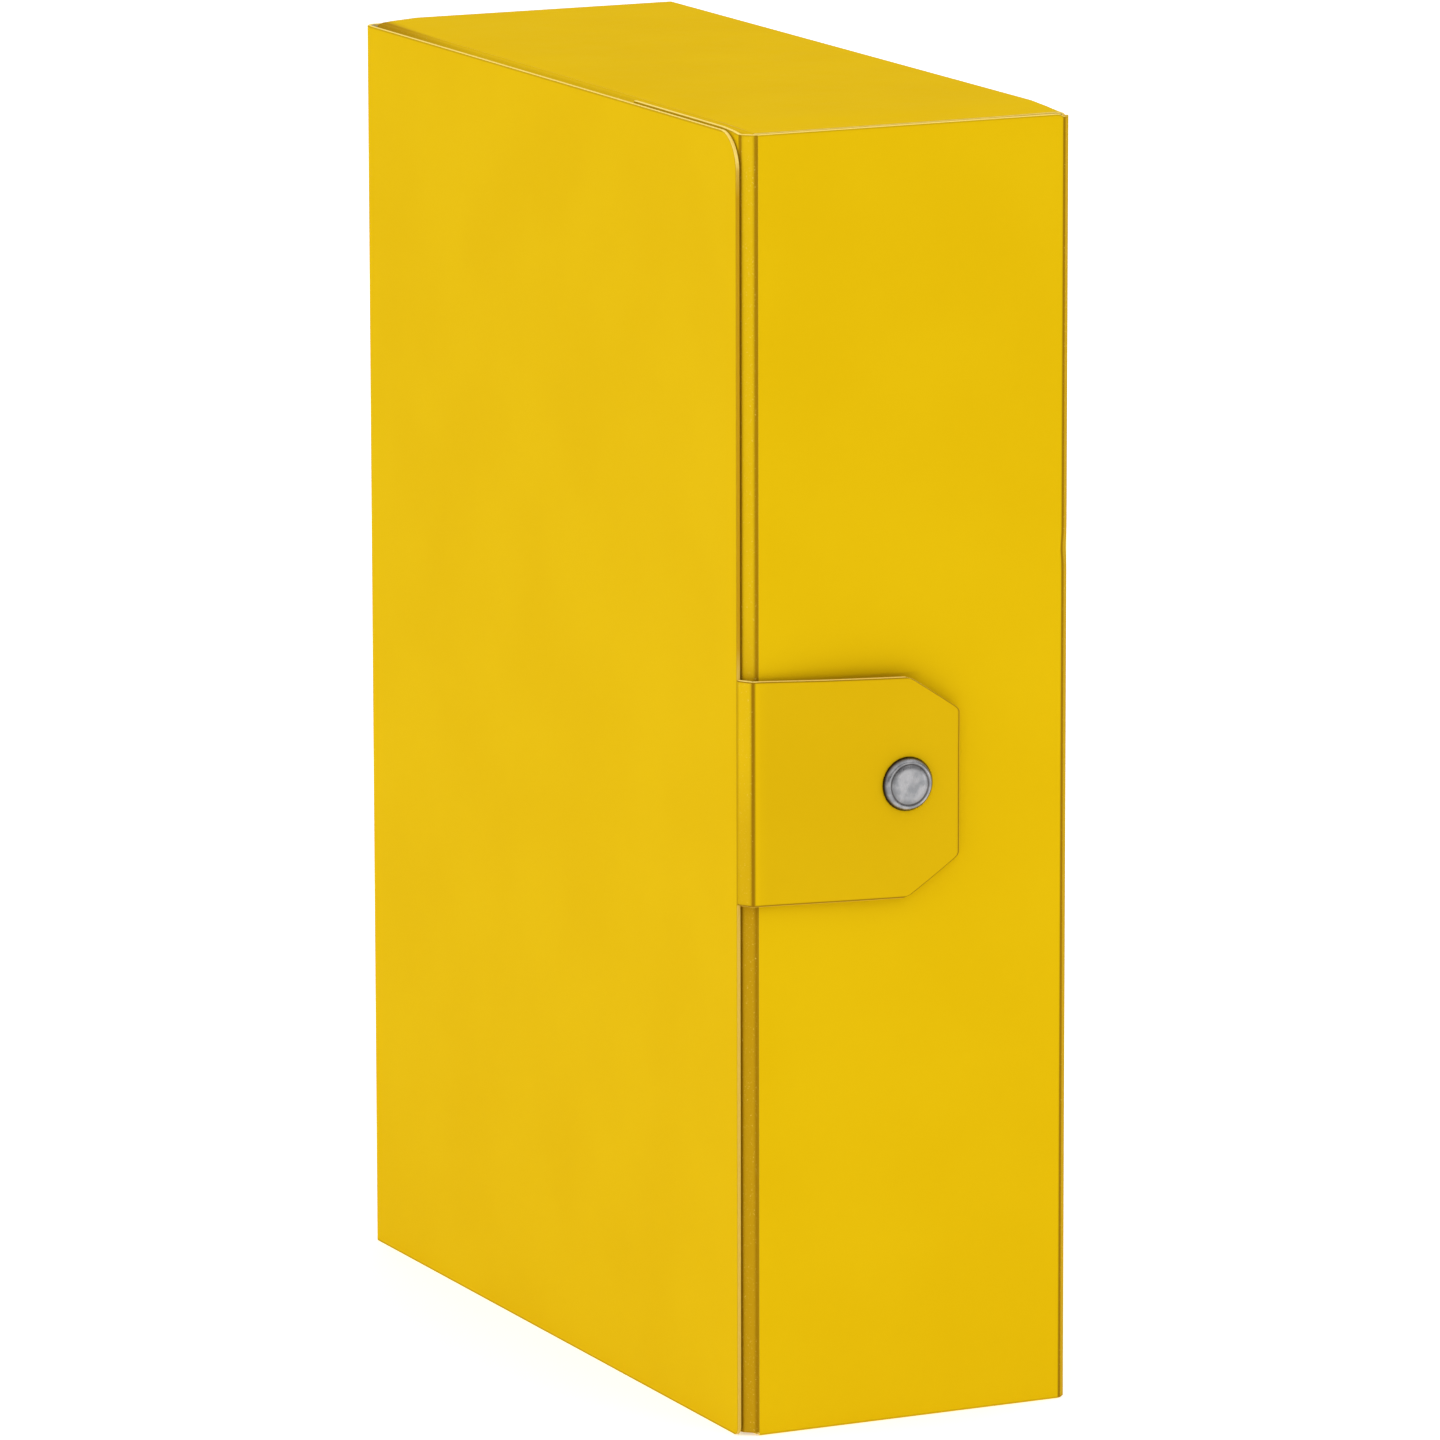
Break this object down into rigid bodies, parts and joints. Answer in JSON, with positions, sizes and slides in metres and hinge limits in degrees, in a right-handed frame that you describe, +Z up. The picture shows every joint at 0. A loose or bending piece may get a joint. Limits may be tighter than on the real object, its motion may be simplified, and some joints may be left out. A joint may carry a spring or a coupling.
{
  "type": "document box",
  "caption": "Upright card document box folded from one creased sheet, with a full-height front cover whose tab wraps the fore edge and closes on a metal press stud.",
  "frame": {"origin": "on the surface the box stands on, at the middle of the folded box's 100 by 250 mm outline", "axes": "+Z up, -Y towards the fore edge with the closing tab, +Y towards the spine, -X towards the front cover, +X towards the back panel"},
  "size_m": [0.1, 0.2552, 0.3588],
  "materials": {
    "laminated_card": "glossy clear-film laminate over a warm yellow print",
    "stud_metal": "dark nickel plate, satin",
    "spring_wire": "drawn spring wire"
  },
  "bodies": {
    "box_back": {"back_panel": "laminated_card", "bottom_wall": "laminated_card", "bottom_back_crease": "laminated_card"},
    "spine": {"spine_panel": "laminated_card", "spine_back_crease": "laminated_card"},
    "cover": {"front_cover": "laminated_card", "spine_cover_crease": "laminated_card"},
    "tab": {"closure_tab": "laminated_card", "tab_crease": "laminated_card", "stud_cap": "stud_metal", "stud_socket": "stud_metal", "socket_spring": "spring_wire"},
    "fore_edge": {"fore_edge_wall": "laminated_card", "fore_edge_back_crease": "laminated_card", "wall_stud": "stud_metal", "wall_eyelet": "stud_metal"},
    "fore_edge_flap": {"fore_edge_return_flap": "laminated_card", "fore_edge_return_crease": "laminated_card"},
    "top": {"top_wall": "laminated_card", "top_back_crease": "laminated_card"},
    "top_flap": {"top_return_flap": "laminated_card", "top_return_crease": "laminated_card"},
    "bottom_flap": {"bottom_return_flap": "laminated_card", "bottom_return_crease": "laminated_card"}
  },
  "joints": [
    {"name": "cover_hinge", "type": "hinge", "parent": "spine", "child": "cover", "pos_m": [-0.04924, 0.12424, 0.179], "axis": [0, 0, -1], "range_deg": [0, 175]},
    {"name": "spine_hinge", "type": "hinge", "parent": "box_back", "child": "spine", "pos_m": [0.04924, 0.12424, 0.179], "axis": [0, 0, -1], "range_deg": [0, 90]},
    {"name": "tab_hinge", "type": "hinge", "parent": "cover", "child": "tab", "pos_m": [-0.04902, -0.12722, 0.179], "axis": [0, 0, -1], "range_deg": [0, 170]},
    {"name": "fore_edge_hinge", "type": "hinge", "parent": "box_back", "child": "fore_edge", "pos_m": [0.04924, -0.12424, 0.179], "axis": [0, 0, 1], "range_deg": [0, 90]},
    {"name": "fore_edge_flap_hinge", "type": "hinge", "parent": "fore_edge", "child": "fore_edge_flap", "pos_m": [-0.04764, -0.12404, 0.179], "axis": [0, 0, 1], "range_deg": [0, 90]},
    {"name": "top_hinge", "type": "hinge", "parent": "box_back", "child": "top", "pos_m": [0.04924, 0, 0.35804], "axis": [0, 1, 0], "range_deg": [0, 90]},
    {"name": "top_flap_hinge", "type": "hinge", "parent": "top", "child": "top_flap", "pos_m": [-0.04661, 0, 0.35821], "axis": [0, 1, 0], "range_deg": [0, 90]},
    {"name": "bottom_flap_hinge", "type": "hinge", "parent": "box_back", "child": "bottom_flap", "pos_m": [-0.04661, 0, 0.00059], "axis": [0, -1, 0], "range_deg": [0, 90]}
  ],
  "couplings": [
    {"joint": "spine_hinge", "follows": "cover_hinge", "ratio": 0.5},
    {"joint": "fore_edge_hinge", "follows": "cover_hinge", "ratio": 0.5},
    {"joint": "fore_edge_flap_hinge", "follows": "cover_hinge", "ratio": 0.4},
    {"joint": "top_hinge", "follows": "cover_hinge", "ratio": 0.45},
    {"joint": "top_flap_hinge", "follows": "cover_hinge", "ratio": 0.3},
    {"joint": "bottom_flap_hinge", "follows": "cover_hinge", "ratio": 0.45}
  ]
}
